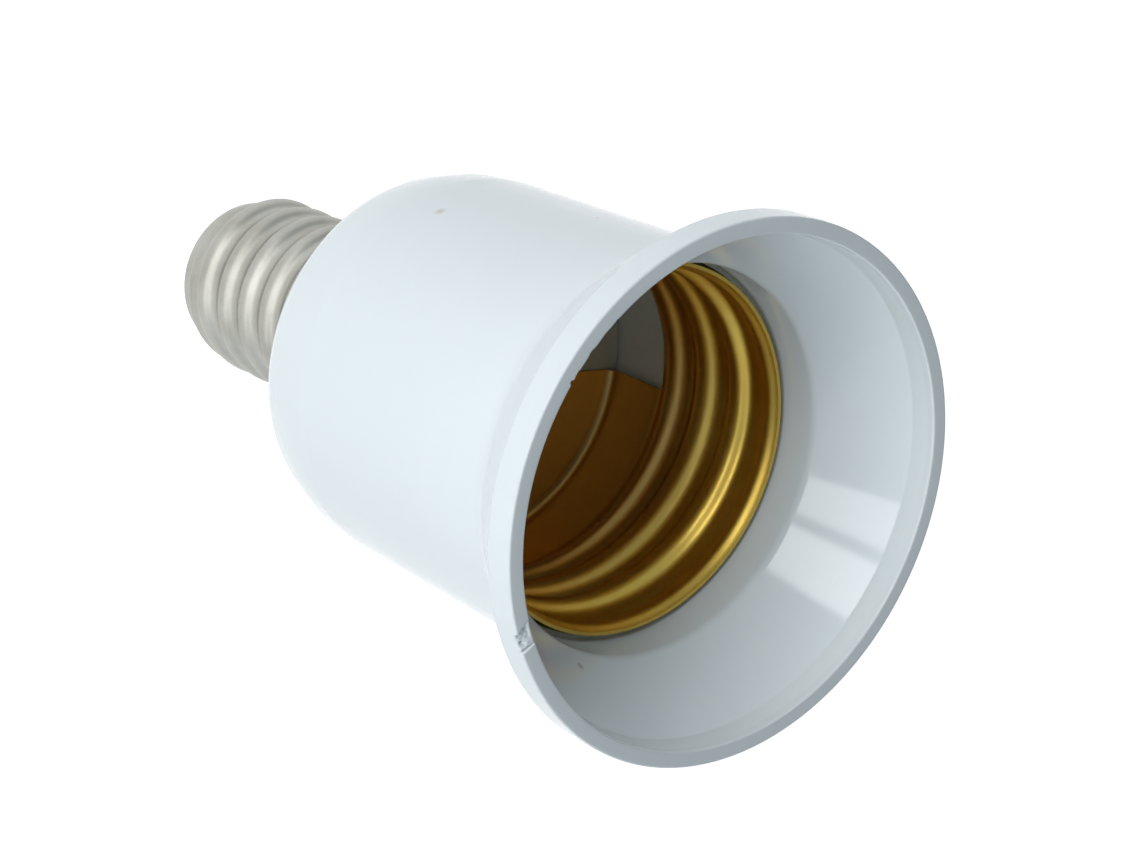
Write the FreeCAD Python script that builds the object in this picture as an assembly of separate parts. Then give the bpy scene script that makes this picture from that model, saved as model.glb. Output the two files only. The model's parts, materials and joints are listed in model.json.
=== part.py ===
import FreeCAD, Part
import math
import os
from FreeCAD import Vector

# Lamp socket adapter: a small screw cap below, a large screw lamp holder above.
# Millimetres. Z is the screw axis, the mouth is up, and the origin is the lowest point of the tip contact.
# Angles are degrees about Z from +X.

# Bell, outside
overall_length = 61.2
rim_radius = 19.2
rim_band = 2.3
band_step = 0.2
barrel_radius = 15.17
barrel_draft = 1.5
flare_slope = 0.6475
flare_fillet = 3.0
shoulder_radius = 16.7
shoulder_turn = 17.8
corner_radius = 3.45
shoulder_height = 4.81
rim_edge_round = 0.25

# Bell, inside
lip_radius = 18.15
lip_drop = 1.9
lip_draft = 0.2
seat_radius = 14.0
flare_depth = 8.0
seat_length = 2.84
flare_root_round = 0.6
cavity_depth = 4.55
floor_thickness = 1.7
ledge_width = 1.5
cavity_round = 2.0

# Large rolled shell, inner surface
sheet = 0.25
lamp_major = 13.25
lamp_thread_depth = 1.07
lamp_pitch = 3.629
lamp_ridge_height = 45.9
lamp_ridge_angle = 90.0
lamp_plain_radius = 13.0
lamp_shell_length = 18.41
lamp_run_in = (1.36, 2.76)
lamp_run_out = (5.0, 7.5)
lamp_corner = 0.8
lamp_floor_hole = 6.9
shell_play = 0.2

# The two cut-outs low in the large shell, and the tabs bent from them
window_angles = (136.0, 316.0)
window_span = 48.0
window_height = 5.8
tab_reach = 9.0
tab_root = 1.4
tab_width = 7.0
tab_wall_play = 0.137
tab_bend = 0.3

# Carrier under the large shell
carrier_thickness = 2.25
carrier_play = 0.15
bead_height = 0.4
bead_width = 0.8
bead_play = 0.1
boss_play = 0.4
boss_height = 0.95
slot_play = 0.35

# Leaf contact, its rivet and the solder lug
leaf_thickness = 0.4
leaf_width = 5.0
leaf_play = 0.25
leaf_rise = 14.0
leaf_arm = 7.4
leaf_tip = 1.2
leaf_tip_drop = 20.0
leaf_foot = 1.7
leaf_bend = 0.8
rivet_place = -4.5
rivet_shank = 0.9
rivet_bore = 0.5
rivet_head = 1.6
rivet_head_height = 0.5
rivet_play = 0.2
lug_thickness = 0.4
lug_radius = 2.3
lug_tail = 4.0
lug_tail_width = 2.4

# Small rolled shell, outer surface
base_major = 6.945
base_thread_depth = 0.8
base_pitch = 2.822
base_root_height = 4.32
base_root_angle = -90.0
base_collar = 4.25
base_run_in = 1.9
base_end_radius = 6.1
base_end_height = 2.9
base_end_fall = 1.6
base_end_run = 1.1
base_foot_height = 1.6
base_foot_round = 0.9
base_foot_inset = 0.3
base_hole = 4.75

# Neck inside the small shell
collar_play = 0.075
neck_play = 0.145
neck_bore = 4.2
neck_taper = 2.0
nose_play = 0.15
nose_height = 1.0
nose_floor = 2.6
nose_shoulder = 2.6

# Tip contact
eyelet_shank = 1.2
eyelet_bore = 0.85
eyelet_hole_play = 0.1
eyelet_head = 2.7
eyelet_head_height = 0.5
eyelet_flare = 1.75
eyelet_flare_height = 0.3
solder_radius = 1.7
solder_rise = 0.4

# Leads and their joints
core_radius = 0.35
sleeve_radius = 0.65
lead_hole = 0.5
lead_groove = 0.4
lead_pinch = 0.015
joint_radius = 1.1
joint_height = 0.9
lead_bare = 2.2
lead_end = 0.1
lead_top_run = 5.5
lead_middle_run = 5.9
lead_low_run = 6.0
lead_sway_out = 0.9
lead_sway_side = 0.5
lead_entry = 2.6
bend_run = 2.4
bend_reach = 4.2
bend_drop = 0.3
bend_middle_drop = 1.8
bend_foot_drop = 3.7
bend_lean = 0.15
bend_stand = 0.6
bend_bare = 1.6

# Rolled threads: shares of a pitch above a root, with the height of the wave there
wave_levels = ((-1/12, 0.0), (1/12, 0.0), (5/12, 1.0), (7/12, 1.0))
sectors = 2
sector_points = 16
seam_width = 1/6
end_margin = 0.05
seam_fade = 0.8

# Heights that follow from the sizes above
flare_foot = overall_length - flare_depth
shell_mouth = flare_foot - seat_length
shell_floor = shell_mouth - lamp_shell_length
carrier_top = shell_floor
carrier_foot = carrier_top - carrier_thickness
cavity_floor = carrier_foot - cavity_depth
bell_foot = cavity_floor - floor_thickness
bore_radius = lamp_major + sheet + shell_play
carrier_radius = bore_radius - carrier_play
cavity_radius = bore_radius - ledge_width
boss_radius = lamp_floor_hole - boss_play
boss_top = carrier_top + boss_height
collar_foot = bell_foot - base_collar
collar_seat = base_major - sheet - collar_play
neck_radius = base_major - base_thread_depth - sheet - neck_play
groove_place = base_major - sheet - lead_pinch - core_radius
lug_foot = carrier_foot - lug_thickness
head_foot = nose_height - eyelet_head_height
eyelet_top = nose_height + nose_floor
tab_end = math.sqrt(cavity_radius**2 - (tab_width/2)**2) - tab_wall_play
tab_low = carrier_foot - sheet
bead_middle = carrier_foot + carrier_thickness/2
nose_radius = base_hole - nose_play


def polar(radius, angle, height):
    """Point at a radius, an angle in degrees and a height."""
    turn = math.radians(angle)
    return Vector(radius*math.cos(turn), radius*math.sin(turn), height)


def smooth(share):
    """Smooth step from 0 to 1."""
    share = min(max(share, 0.0), 1.0)
    return share*share*(3 - 2*share)


def rounded_wire(corners, closed=True):
    """Wire through corners (point, round), each corner rounded by a tangent arc."""
    count = len(corners)
    ends = []
    for index, (point, radius) in enumerate(corners):
        inner = closed or 0 < index < count - 1
        if radius == 0 or not inner:
            ends.append((point, point, None))
            continue
        before = (corners[index - 1][0] - point).normalize()
        after = (corners[(index + 1) % count][0] - point).normalize()
        half = before.getAngle(after)/2
        reach = radius/math.tan(half)
        middle = (before + after).normalize()
        crown = point + middle*(radius/math.sin(half) - radius)
        ends.append((point + before*reach, point + after*reach, crown))
    edges = []
    for index, (start, stop, crown) in enumerate(ends):
        if crown is not None:
            edges.append(Part.Arc(start, crown, stop).toShape())
        following = ends[(index + 1) % count][0]
        if (closed or index < count - 1) and stop.distanceToPoint(following) > 1e-6:
            edges.append(Part.LineSegment(stop, following).toShape())
    return Part.Wire(edges)


def section(corners):
    """Corners (radius, height) or (radius, height, round) as points in the XZ plane."""
    return [(Vector(corner[0], 0, corner[1]), corner[2] if len(corner) > 2 else 0) for corner in corners]


def turned(corners):
    """Solid of revolution from a closed section."""
    face = Part.Face(rounded_wire(section(corners)))
    return face.revolve(Vector(0, 0, 0), Vector(0, 0, 1), 360)


def rod(radius, low, high, place=Vector(0, 0, 0)):
    """Upright cylinder between two heights."""
    return Part.makeCylinder(radius, high - low, Vector(place.x, place.y, low))


def plate(corners, width, angle=0.0):
    """Section in the XZ plane, extruded evenly to both sides and turned about Z."""
    face = Part.Face(rounded_wire(section(corners)))
    solid = face.extrude(Vector(0, width, 0))
    solid.translate(Vector(0, -width/2, 0))
    solid.rotate(Vector(0, 0, 0), Vector(0, 0, 1), angle)
    return solid


def wire_path(points):
    """Straight runs joined by tangent arcs, each as large as its two runs allow."""
    corners = [(points[0], 0)]
    for before, point, after in zip(points, points[1:], points[2:]):
        back = before - point
        ahead = after - point
        half = back.getAngle(ahead)/2
        radius = 0.45*min(back.Length, ahead.Length)*math.tan(half)
        print("lead bend radius", round(radius, 2))
        corners.append((point, radius))
    corners.append((points[-1], 0))
    return rounded_wire(corners, closed=False)


def tube(points, radius):
    """Round bar along a path, compared with its section times its length."""
    path = wire_path(points)
    start = (points[1] - points[0]).normalize()
    ring = Part.Wire(Part.makeCircle(radius, points[0], start))
    solid = path.makePipeShell([ring], True, True)
    print("tube", round(solid.Volume/(math.pi*radius**2*path.Length), 4))
    return solid


def ring_edge(radius, height, seam, sector):
    """Arc of a level ring over one sector, counted from the seam angle."""
    step = 360/sectors
    circle = Part.makeCircle(radius, Vector(0, 0, height), Vector(0, 0, 1), sector*step, (sector + 1)*step)
    circle.rotate(Vector(0, 0, 0), Vector(0, 0, 1), seam)
    return circle


def helix_starts(low, high, root, pitch):
    """Heights on the seam, with their wave levels, where the thread's edges begin."""
    starts = []
    turn = math.floor((low - root)/pitch) - 1
    while root + turn*pitch < high:
        for share, level in wave_levels:
            height = root + (turn + share)*pitch
            if height > low + end_margin and height + pitch < high - end_margin:
                starts.append((height, level))
        turn += 1
    return starts


def thread_skin(radius_at, low, high, root, pitch, seam, seam_line):
    """Faces of a rolled thread between two level rings, as ruled helical strips.

    radius_at(height, level) is the thread's own form. Along the seam the skin follows
    seam_line(height, low_hold, high_hold) near both ends, where the strips meet the level rings.
    """
    starts = helix_starts(low, high, root, pitch)
    low_hold = starts[0][0] + pitch
    high_hold = starts[-1][0]

    def skin_radius(height, level, turn):
        near_seam = smooth(1 - min(turn, 1 - turn)/seam_width)
        near_end = 1 - smooth((height - low_hold)/seam_fade)*smooth((high_hold - height)/seam_fade)
        hold = near_seam*near_end
        return radius_at(height, level)*(1 - hold) + seam_line(height, low_hold, high_hold)*hold

    def helix_edge(start, level, sector):
        points = []
        for step in range(sector_points + 1):
            turn = (sector + step/sector_points)/sectors
            height = start + pitch*turn
            points.append(polar(skin_radius(height, level, turn), seam + 360*turn, height))
        curve = Part.BSplineCurve()
        curve.interpolate(points)
        return curve.toShape()

    faces = []
    for sector in range(sectors):
        edges = [ring_edge(seam_line(low, low_hold, high_hold), low, seam, sector)]
        edges += [helix_edge(start, level, sector) for start, level in starts]
        edges += [ring_edge(seam_line(high, low_hold, high_hold), high, seam, sector)]
        faces += [Part.makeRuledSurface(a, b) for a, b in zip(edges, edges[1:])]
    return faces


def swept_skin(corners, seam):
    """Faces of an open section turned about Z, in the same sectors as a thread."""
    faces = []
    step = 360/sectors
    for sector in range(sectors):
        for edge in rounded_wire(section(corners), closed=False).Edges:
            edge.rotate(Vector(0, 0, 0), Vector(0, 0, 1), seam + sector*step)
            faces.append(edge.revolve(Vector(0, 0, 0), Vector(0, 0, 1), step))
    return faces


def closed_solid(faces):
    """One solid from faces that meet edge to edge."""
    skin = Part.makeCompound(faces)
    skin.sewShape(1e-3)
    solid = Part.makeSolid(skin.Shells[0])
    if solid.Volume < 0:
        solid.reverse()
    print("sewn shell", len(skin.Shells), "closed", skin.Shells[0].isClosed(), "valid", solid.isValid())
    return solid


def lamp_screw_shell():
    """Large rolled shell with its floor, two cut-outs and the tabs bent from them."""
    seam = 270.0
    low = shell_floor + sheet + lamp_corner + 0.2
    high = shell_mouth
    root = lamp_ridge_height + lamp_pitch*(seam - lamp_ridge_angle)/360

    def form(offset):
        def radius_at(height, level):
            run_in = smooth((high - lamp_run_in[0] - height)/(lamp_run_in[1] - lamp_run_in[0]))
            run_out = smooth((height - shell_floor - lamp_run_out[0])/(lamp_run_out[1] - lamp_run_out[0]))
            wall = lamp_plain_radius + (lamp_major - lamp_plain_radius)*run_out
            return wall + offset - lamp_thread_depth*run_in*run_out*(1 - level)
        return radius_at

    def line(offset):
        def seam_line(height, low_hold, high_hold):
            wall = lamp_plain_radius if height < (low_hold + high_hold)/2 else lamp_major
            return wall + offset
        return seam_line

    faces = thread_skin(form(0), low, high, root, lamp_pitch, seam, line(0))
    faces += thread_skin(form(sheet), low, high, root, lamp_pitch, seam, line(sheet))
    faces += swept_skin([(lamp_major, high), (lamp_major + sheet, high)], seam)
    faces += swept_skin([
        (lamp_plain_radius + sheet, low),
        (lamp_plain_radius + sheet, shell_floor, lamp_corner + sheet),
        (lamp_floor_hole, shell_floor),
        (lamp_floor_hole, shell_floor + sheet),
        (lamp_plain_radius, shell_floor + sheet, lamp_corner),
        (lamp_plain_radius, low),
    ], seam)
    shell = closed_solid(faces)
    for angle in window_angles:
        shell = shell.cut(window(angle))
    for angle in window_angles:
        shell = shell.fuse(tab(angle))
    return shell


def window(angle):
    """Wedge that the cut-out removes from the wall and the outer part of the floor."""
    reach = lamp_major + 2*sheet
    height = window_height + 2*sheet
    low = shell_floor - sheet
    wedge = Part.makeCylinder(reach, height, Vector(0, 0, low), Vector(0, 0, 1), window_span)
    wedge.rotate(Vector(0, 0, 0), Vector(0, 0, 1), angle - window_span/2)
    core = Part.makeCylinder(tab_reach, height, Vector(0, 0, low))
    return wedge.cut(core)


def tab(angle):
    """Tab bent down from the floor through the carrier and out under it."""
    inner = tab_reach - tab_root
    bend = tab_bend + sheet
    corners = [
        (inner, shell_floor),
        (inner, shell_floor + sheet),
        (tab_reach + sheet, shell_floor + sheet, bend),
        (tab_reach + sheet, carrier_foot, tab_bend),
        (tab_end, carrier_foot),
        (tab_end, tab_low),
        (tab_reach, tab_low, bend),
        (tab_reach, shell_floor, tab_bend),
    ]
    return plate(corners, tab_width, angle)


def base_screw_shell():
    """Small rolled shell: plain collar, rolled thread, and its end curled in under the neck."""
    seam = 90.0
    low = base_end_height
    high = collar_foot
    root = base_root_height + base_pitch*(seam - base_root_angle)/360

    def form(offset):
        def radius_at(height, level):
            run_in = smooth((high - height)/base_run_in)
            run_out = smooth((height - low)/base_end_run)
            fall = smooth((height - low)/base_end_fall)
            crest = base_end_radius + (base_major - base_end_radius)*fall
            return crest - offset - base_thread_depth*run_in*run_out*(1 - level)
        return radius_at

    def line(offset):
        def seam_line(height, low_hold, high_hold):
            rise = min((height - low)/(low_hold - low), 1.0)
            return base_end_radius + (base_major - base_end_radius)*rise - offset
        return seam_line

    faces = thread_skin(form(0), low, high, root, base_pitch, seam, line(0))
    faces += thread_skin(form(sheet), low, high, root, base_pitch, seam, line(sheet))
    faces += swept_skin([
        (base_major, high),
        (base_major, bell_foot),
        (base_major - sheet, bell_foot),
        (base_major - sheet, high),
    ], seam)
    foot = base_end_radius - base_foot_inset
    faces += swept_skin([
        (base_end_radius, low),
        (foot, base_foot_height, base_foot_round),
        (base_hole, base_foot_height),
        (base_hole, base_foot_height + sheet),
        (foot - sheet, base_foot_height + sheet, base_foot_round - sheet),
        (base_end_radius - sheet, low),
    ], seam)
    return closed_solid(faces)


def housing():
    """White moulded body: flared bell, barrel, shoulder, and the hollow neck inside the small shell."""
    draft = math.tan(math.radians(barrel_draft))
    band_foot = overall_length - rim_band
    flare_top = rim_radius - band_step
    knee = band_foot - (flare_top - barrel_radius)/flare_slope
    shoulder = bell_foot + shoulder_height
    shoulder_out = barrel_radius - (knee - shoulder)*draft
    corner_out = shoulder_out - shoulder_height*math.tan(math.radians(barrel_draft + shoulder_turn))
    bead_reach = bore_radius - bead_height
    eyelet_hole = eyelet_shank + eyelet_hole_play
    body = turned([
        (lip_radius, overall_length, rim_edge_round),
        (rim_radius, overall_length, rim_edge_round),
        (rim_radius, band_foot, rim_edge_round/2),
        (flare_top, band_foot),
        (barrel_radius, knee, flare_fillet),
        (shoulder_out, shoulder, shoulder_radius),
        (corner_out, bell_foot, corner_radius),
        (collar_seat, bell_foot),
        (collar_seat, collar_foot),
        (neck_radius, collar_foot),
        (neck_radius, nose_shoulder + neck_taper),
        (nose_radius, nose_shoulder),
        (nose_radius, nose_height, rim_edge_round),
        (eyelet_hole, nose_height),
        (eyelet_hole, eyelet_top),
        (neck_bore, eyelet_top, rim_edge_round),
        (neck_bore, cavity_floor, rim_edge_round),
        (cavity_radius, cavity_floor, cavity_round),
        (cavity_radius, carrier_foot),
        (bore_radius, carrier_foot),
        (bore_radius, bead_middle - bead_width/2),
        (bead_reach, bead_middle),
        (bore_radius, bead_middle + bead_width/2),
        (bore_radius, shell_mouth),
        (seat_radius, shell_mouth),
        (seat_radius, flare_foot, flare_root_round),
        (lip_radius - lip_draft, overall_length - lip_drop),
    ])
    lead_line = polar(groove_place, window_angles[1], 0)
    body = body.cut(rod(lead_groove, collar_foot + lead_groove, bell_foot, lead_line))
    return body.cut(rod(lead_hole, bell_foot, cavity_floor + lead_hole, lead_line))


def contact_carrier():
    """Insulating disc with a boss for the leaf contact and slots for the shell's tabs."""
    groove = bore_radius - bead_height - bead_play
    half = bead_width/2 + bead_play
    disc = turned([
        (0, carrier_foot),
        (carrier_radius, carrier_foot),
        (carrier_radius, bead_middle - half),
        (groove, bead_middle),
        (carrier_radius, bead_middle + half),
        (carrier_radius, carrier_top),
        (boss_radius, carrier_top),
        (boss_radius, boss_top, rim_edge_round),
        (0, boss_top),
    ])
    for angle in window_angles:
        corners = [
            (tab_reach - slot_play, carrier_foot - 1),
            (tab_reach + sheet + slot_play, carrier_foot - 1),
            (tab_reach + sheet + slot_play, carrier_top + 1),
            (tab_reach - slot_play, carrier_top + 1),
        ]
        disc = disc.cut(plate(corners, tab_width + 2*slot_play, angle))
    return disc.cut(rod(rivet_shank, carrier_foot - 1, boss_top + 1, Vector(rivet_place, 0, 0)))


leaf_foot_low = boss_top + leaf_play
leaf_foot_top = leaf_foot_low + leaf_thickness


def centre_contact():
    """Leaf spring: a foot round the rivet, a rising arm and an end bent down."""
    rise = math.radians(leaf_rise)
    drop = math.radians(leaf_tip_drop)
    start = rivet_place + leaf_foot
    crown_x = start + leaf_arm*math.cos(rise)
    crown_z = leaf_foot_low + leaf_arm*math.sin(rise)
    tip_x = crown_x + leaf_tip*math.cos(drop)
    tip_z = crown_z - leaf_tip*math.sin(drop)
    under = [
        (rivet_place - leaf_foot, leaf_foot_low),
        (start, leaf_foot_low, leaf_bend),
        (crown_x, crown_z, leaf_bend),
        (tip_x, tip_z),
    ]
    lift = leaf_thickness
    over = [
        (tip_x + lift*math.sin(drop), tip_z + lift*math.cos(drop)),
        (crown_x + lift*math.tan((drop - rise)/2), crown_z + lift, leaf_bend + lift),
        (start - lift*math.tan(rise/2), leaf_foot_top, leaf_bend + lift),
        (rivet_place - leaf_foot, leaf_foot_top),
    ]
    strip = plate(under + over, leaf_width)
    hole = rod(rivet_shank + rivet_play, leaf_foot_low - 1, leaf_foot_top + 1, Vector(rivet_place, 0, 0))
    return strip.cut(hole)


def centre_rivet():
    """Tubular rivet through leaf, carrier and lug."""
    top = leaf_foot_top + leaf_play
    rivet = turned([
        (rivet_bore, lug_foot - rivet_head_height),
        (rivet_head, lug_foot - rivet_head_height, rivet_head_height/2),
        (rivet_head, lug_foot),
        (rivet_shank, lug_foot),
        (rivet_shank, top),
        (rivet_head, top),
        (rivet_head, top + rivet_head_height, rivet_head_height/2),
        (rivet_bore, top + rivet_head_height),
    ])
    rivet.translate(Vector(rivet_place, 0, 0))
    return rivet


def centre_lug():
    """Solder lug: a ring under the carrier, with a tail that takes the lead."""
    ring = rod(lug_radius, lug_foot, carrier_foot, Vector(rivet_place, 0, 0))
    tail_corner = Vector(rivet_place, -lug_tail_width/2, lug_foot)
    tail = Part.makeBox(lug_tail, lug_tail_width, lug_thickness, tail_corner)
    end = rod(lug_tail_width/2, lug_foot, carrier_foot, Vector(lug_hole, 0, 0))
    lug = ring.fuse(tail).fuse(end).removeSplitter()
    lug = lug.cut(rod(rivet_shank, lug_foot - 1, carrier_foot + 1, Vector(rivet_place, 0, 0)))
    return lug.cut(rod(core_radius, lug_foot - 1, carrier_foot + 1, Vector(lug_hole, 0, 0)))


lug_hole = rivet_place + lug_tail
lead_turn = carrier_foot - lead_end - lead_top_run
lead_middle = lead_turn - lead_middle_run
centre_route = [
    Vector(lug_hole, 0, carrier_foot - lead_end),
    Vector(lug_hole, 0, lead_turn),
    Vector(lug_hole + lead_sway_out, lead_sway_side, lead_middle),
    Vector(lug_hole + lead_sway_out, lead_sway_side/2, lead_middle - lead_low_run),
    Vector(0, 0, eyelet_top + lead_entry),
    Vector(0, 0, head_foot + lead_end),
]
shell_route = [
    polar(tab_end - lead_end, window_angles[1], tab_low - core_radius - lead_pinch),
    polar(tab_end - bend_run, window_angles[1], tab_low - core_radius - bend_drop),
    polar(tab_end - bend_reach, window_angles[1], carrier_foot - bend_middle_drop),
    polar(groove_place + bend_lean, window_angles[1], carrier_foot - bend_foot_drop),
    polar(groove_place, window_angles[1], bell_foot + bend_stand),
    polar(groove_place, window_angles[1], collar_foot + lead_groove),
]


def sleeve_on(route, lead, low, high):
    """Insulation round a lead, between two level planes."""
    outer = tube(route, sleeve_radius)
    reach = 2*rim_radius
    slab = Part.makeBox(reach, reach, high - low, Vector(-reach/2, -reach/2, low))
    return outer.common(slab).cut(lead)


def solder_dome(place, top, lead):
    """Solder round a lead under a flat terminal."""
    dome = turned([
        (0, top - joint_height),
        (joint_radius*0.6, top - joint_height, joint_height*0.3),
        (joint_radius, top, 0),
        (0, top),
    ])
    dome.translate(Vector(place.x, place.y, 0))
    return dome.cut(lead)


def tip_eyelet():
    """Hollow rivet in the nose, its head the tip contact's flange."""
    return turned([
        (eyelet_bore, head_foot),
        (eyelet_head, head_foot, eyelet_head_height*0.7),
        (eyelet_head, nose_height),
        (eyelet_shank, nose_height),
        (eyelet_shank, eyelet_top),
        (eyelet_flare, eyelet_top),
        (eyelet_flare, eyelet_top + eyelet_flare_height),
        (eyelet_bore, eyelet_top + eyelet_flare_height),
    ])


def tip_solder(lead):
    """Solder bead that closes the eyelet and holds the lead."""
    dome_radius = (solder_radius**2 + head_foot**2)/(2*head_foot)
    ball = Part.makeSphere(dome_radius, Vector(0, 0, dome_radius))
    cap = ball.common(rod(2*solder_radius, 0, head_foot))
    plug = rod(eyelet_bore, head_foot, nose_height + solder_rise)
    return cap.fuse(plug).removeSplitter().cut(lead)


def write_parts():
    """Build every piece and write one STEP file for each."""
    os.makedirs("parts", exist_ok=True)
    centre_lead = tube(centre_route, core_radius)
    shell_lead = tube(shell_route, core_radius)
    core_low = eyelet_top + lead_bare
    core_top = lug_foot - lead_bare
    bend_low = cavity_floor + lead_hole
    bend_top = carrier_foot - bend_bare
    joint_place = polar(tab_end - joint_radius, window_angles[1], 0)
    pieces = {
        "housing": housing(),
        "lamp_screw_shell": lamp_screw_shell(),
        "base_screw_shell": base_screw_shell(),
        "contact_carrier": contact_carrier(),
        "centre_contact": centre_contact(),
        "centre_rivet": centre_rivet(),
        "centre_lug": centre_lug(),
        "centre_lead": centre_lead,
        "centre_lead_sleeve": sleeve_on(centre_route, centre_lead, core_low, core_top),
        "shell_lead": shell_lead,
        "shell_lead_sleeve": sleeve_on(shell_route, shell_lead, bend_low, bend_top),
        "centre_lug_solder": solder_dome(Vector(lug_hole, 0, 0), lug_foot, centre_lead),
        "shell_tab_solder": solder_dome(joint_place, tab_low, shell_lead),
        "tip_eyelet": tip_eyelet(),
        "tip_solder": tip_solder(centre_lead),
    }
    for name, shape in pieces.items():
        box = shape.BoundBox
        print(name, "solids", len(shape.Solids), "valid", shape.isValid(), "volume", round(shape.Volume, 2),
              "Z", round(box.ZMin, 2), round(box.ZMax, 2))
        shape.exportStep("parts/" + name + ".step")


write_parts()
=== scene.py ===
# %% [markdown]
# # A lamp socket adapter, dressed for the camera
# The object is a white moulded bell with a gold screw shell for a large lamp inside its mouth and a small
# nickel screw cap below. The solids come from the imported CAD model, which is loaded first and never moved.
# Each visible piece is then a smooth surface worked out with numpy, at the size and place of its solid.

# %% Load the solids
import json
import math

import bpy
import numpy as np
from mathutils import Matrix, Vector


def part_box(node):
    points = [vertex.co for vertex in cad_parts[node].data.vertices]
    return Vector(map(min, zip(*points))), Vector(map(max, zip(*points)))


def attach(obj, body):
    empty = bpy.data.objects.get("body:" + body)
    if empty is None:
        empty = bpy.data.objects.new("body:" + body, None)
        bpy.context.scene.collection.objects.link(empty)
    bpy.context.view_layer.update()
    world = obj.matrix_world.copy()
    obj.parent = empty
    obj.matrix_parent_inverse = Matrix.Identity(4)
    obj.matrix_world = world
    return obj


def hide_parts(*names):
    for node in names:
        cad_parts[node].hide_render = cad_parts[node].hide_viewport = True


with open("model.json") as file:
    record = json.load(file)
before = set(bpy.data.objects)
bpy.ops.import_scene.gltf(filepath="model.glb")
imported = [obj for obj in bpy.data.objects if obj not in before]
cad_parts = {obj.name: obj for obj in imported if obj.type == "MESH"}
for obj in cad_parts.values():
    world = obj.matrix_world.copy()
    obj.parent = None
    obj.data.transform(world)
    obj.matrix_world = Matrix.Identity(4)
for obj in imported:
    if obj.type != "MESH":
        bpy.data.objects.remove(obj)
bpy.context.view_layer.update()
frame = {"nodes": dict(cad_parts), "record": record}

MM = 0.001
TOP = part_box("housing")[1].z/MM
print("solids:", len(frame["nodes"]), "height in mm:", round(TOP, 2))

# %% [markdown]
# ## Measures
# The object's sizes are millimetres, with heights counted from the tip contact, and the floor and the lamps
# are placed in metres. Places round the screw axis are degrees from +X, so the camera, on the -Y side,
# stands at about 270. The heights that several pieces share are read from the boxes of the solids, so they
# follow the model. Only the carrier's top is typed, because its boss rises past it.

# %% Sizes that several pieces share
SHEET = 0.25
SHELL_ROWS = 132
BELL_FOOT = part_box("base_screw_shell")[1].z/MM
SHELL_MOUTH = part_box("lamp_screw_shell")[1].z/MM
CARRIER_TOP = 31.95
CARRIER_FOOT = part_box("contact_carrier")[0].z/MM
CAMERA_SIDE = 270.0
print("bell foot", round(BELL_FOOT, 2), "shell mouth", round(SHELL_MOUTH, 2))

# %% [markdown]
# ## Meshes from whole arrays
# A piece of rolled sheet is two skins, one inside and one outside, with the same number of points each.
# Cells of the grid can be left out, as where a cut-out was punched. Along every free edge the two skins are
# joined by a narrow wall, so that the sheet stays closed. A moulded body is simpler: its section is a closed
# loop, and turning it about the axis closes the surface both ways.

# %% Helpers for grids of quads
def grid_index(columns, rows):
    """Number of each grid point: column times the number of rows, plus row."""
    return np.arange(columns*rows).reshape(columns, rows)


def cells(index, around, along):
    """Quads between neighbouring points; around and along say which direction closes on itself."""
    if around:
        index = np.concatenate([index, index[:1]], 0)
    if along:
        index = np.concatenate([index, index[:, :1]], 1)
    return np.stack([index[:-1, :-1], index[1:, :-1], index[1:, 1:], index[:-1, 1:]], -1)


def sheet_faces(columns, rows, keep, around=True):
    """Faces of a closed sheet. Points of skin B follow those of skin A; keep marks the cells that exist."""
    skin_a = grid_index(columns, rows)
    skin_b = skin_a + columns*rows
    quads_a = cells(skin_a, around, False)[keep]
    quads_b = cells(skin_b, around, False)[keep][:, ::-1]
    walls = []
    if around:
        before = np.roll(keep, 1, 0)
    else:
        before = np.concatenate([np.zeros((1, keep.shape[1]), bool), keep], 0)
        keep_side = np.concatenate([keep, np.zeros((1, keep.shape[1]), bool)], 0)
    now = keep if around else keep_side
    for state, flip in ((now & ~before, False), (~now & before, True)):
        column, row = np.nonzero(state)
        wall = np.stack([skin_a[column, row], skin_a[column, row + 1],
                         skin_b[column, row + 1], skin_b[column, row]], -1)
        walls.append(wall[:, ::-1] if flip else wall)
    blank = np.zeros((keep.shape[0], 1), bool)
    above = np.concatenate([blank, keep], 1)
    below = np.concatenate([keep, blank], 1)
    for state, flip in ((below & ~above, True), (~below & above, False)):
        column, row = np.nonzero(state)
        following = (column + 1) % columns
        wall = np.stack([skin_a[column, row], skin_a[following, row],
                         skin_b[following, row], skin_b[column, row]], -1)
        walls.append(wall[:, ::-1] if flip else wall)
    return np.concatenate([quads_a, quads_b] + walls)


def outward(points, faces):
    """Turns all faces round if the volume they enclose is negative."""
    a, b, c, d = (points[faces[:, i]] for i in range(4))
    volume = np.einsum("ij,ij->i", a, np.cross(b, c)).sum() + np.einsum("ij,ij->i", a, np.cross(c, d)).sum()
    return faces if volume > 0 else faces[:, ::-1]


def make_piece(name, points, faces, crease=35.0):
    """Mesh object at the origin from points in millimetres and quads, smooth up to the crease angle."""
    faces = outward(points, faces)
    mesh = bpy.data.meshes.new(name)
    mesh.vertices.add(len(points))
    mesh.vertices.foreach_set("co", (points*MM).astype(np.float32).ravel())
    mesh.loops.add(4*len(faces))
    mesh.loops.foreach_set("vertex_index", faces.astype(np.int32).ravel())
    mesh.polygons.add(len(faces))
    mesh.polygons.foreach_set("loop_start", (4*np.arange(len(faces))).astype(np.int32))
    mesh.update(calc_edges=True)
    mesh.validate()
    mesh.shade_smooth()
    mesh.set_sharp_from_angle(angle=math.radians(crease))
    piece = bpy.data.objects.new(name, mesh)
    bpy.context.scene.collection.objects.link(piece)
    print(name, "points", len(points), "faces", len(faces))
    return piece


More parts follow.
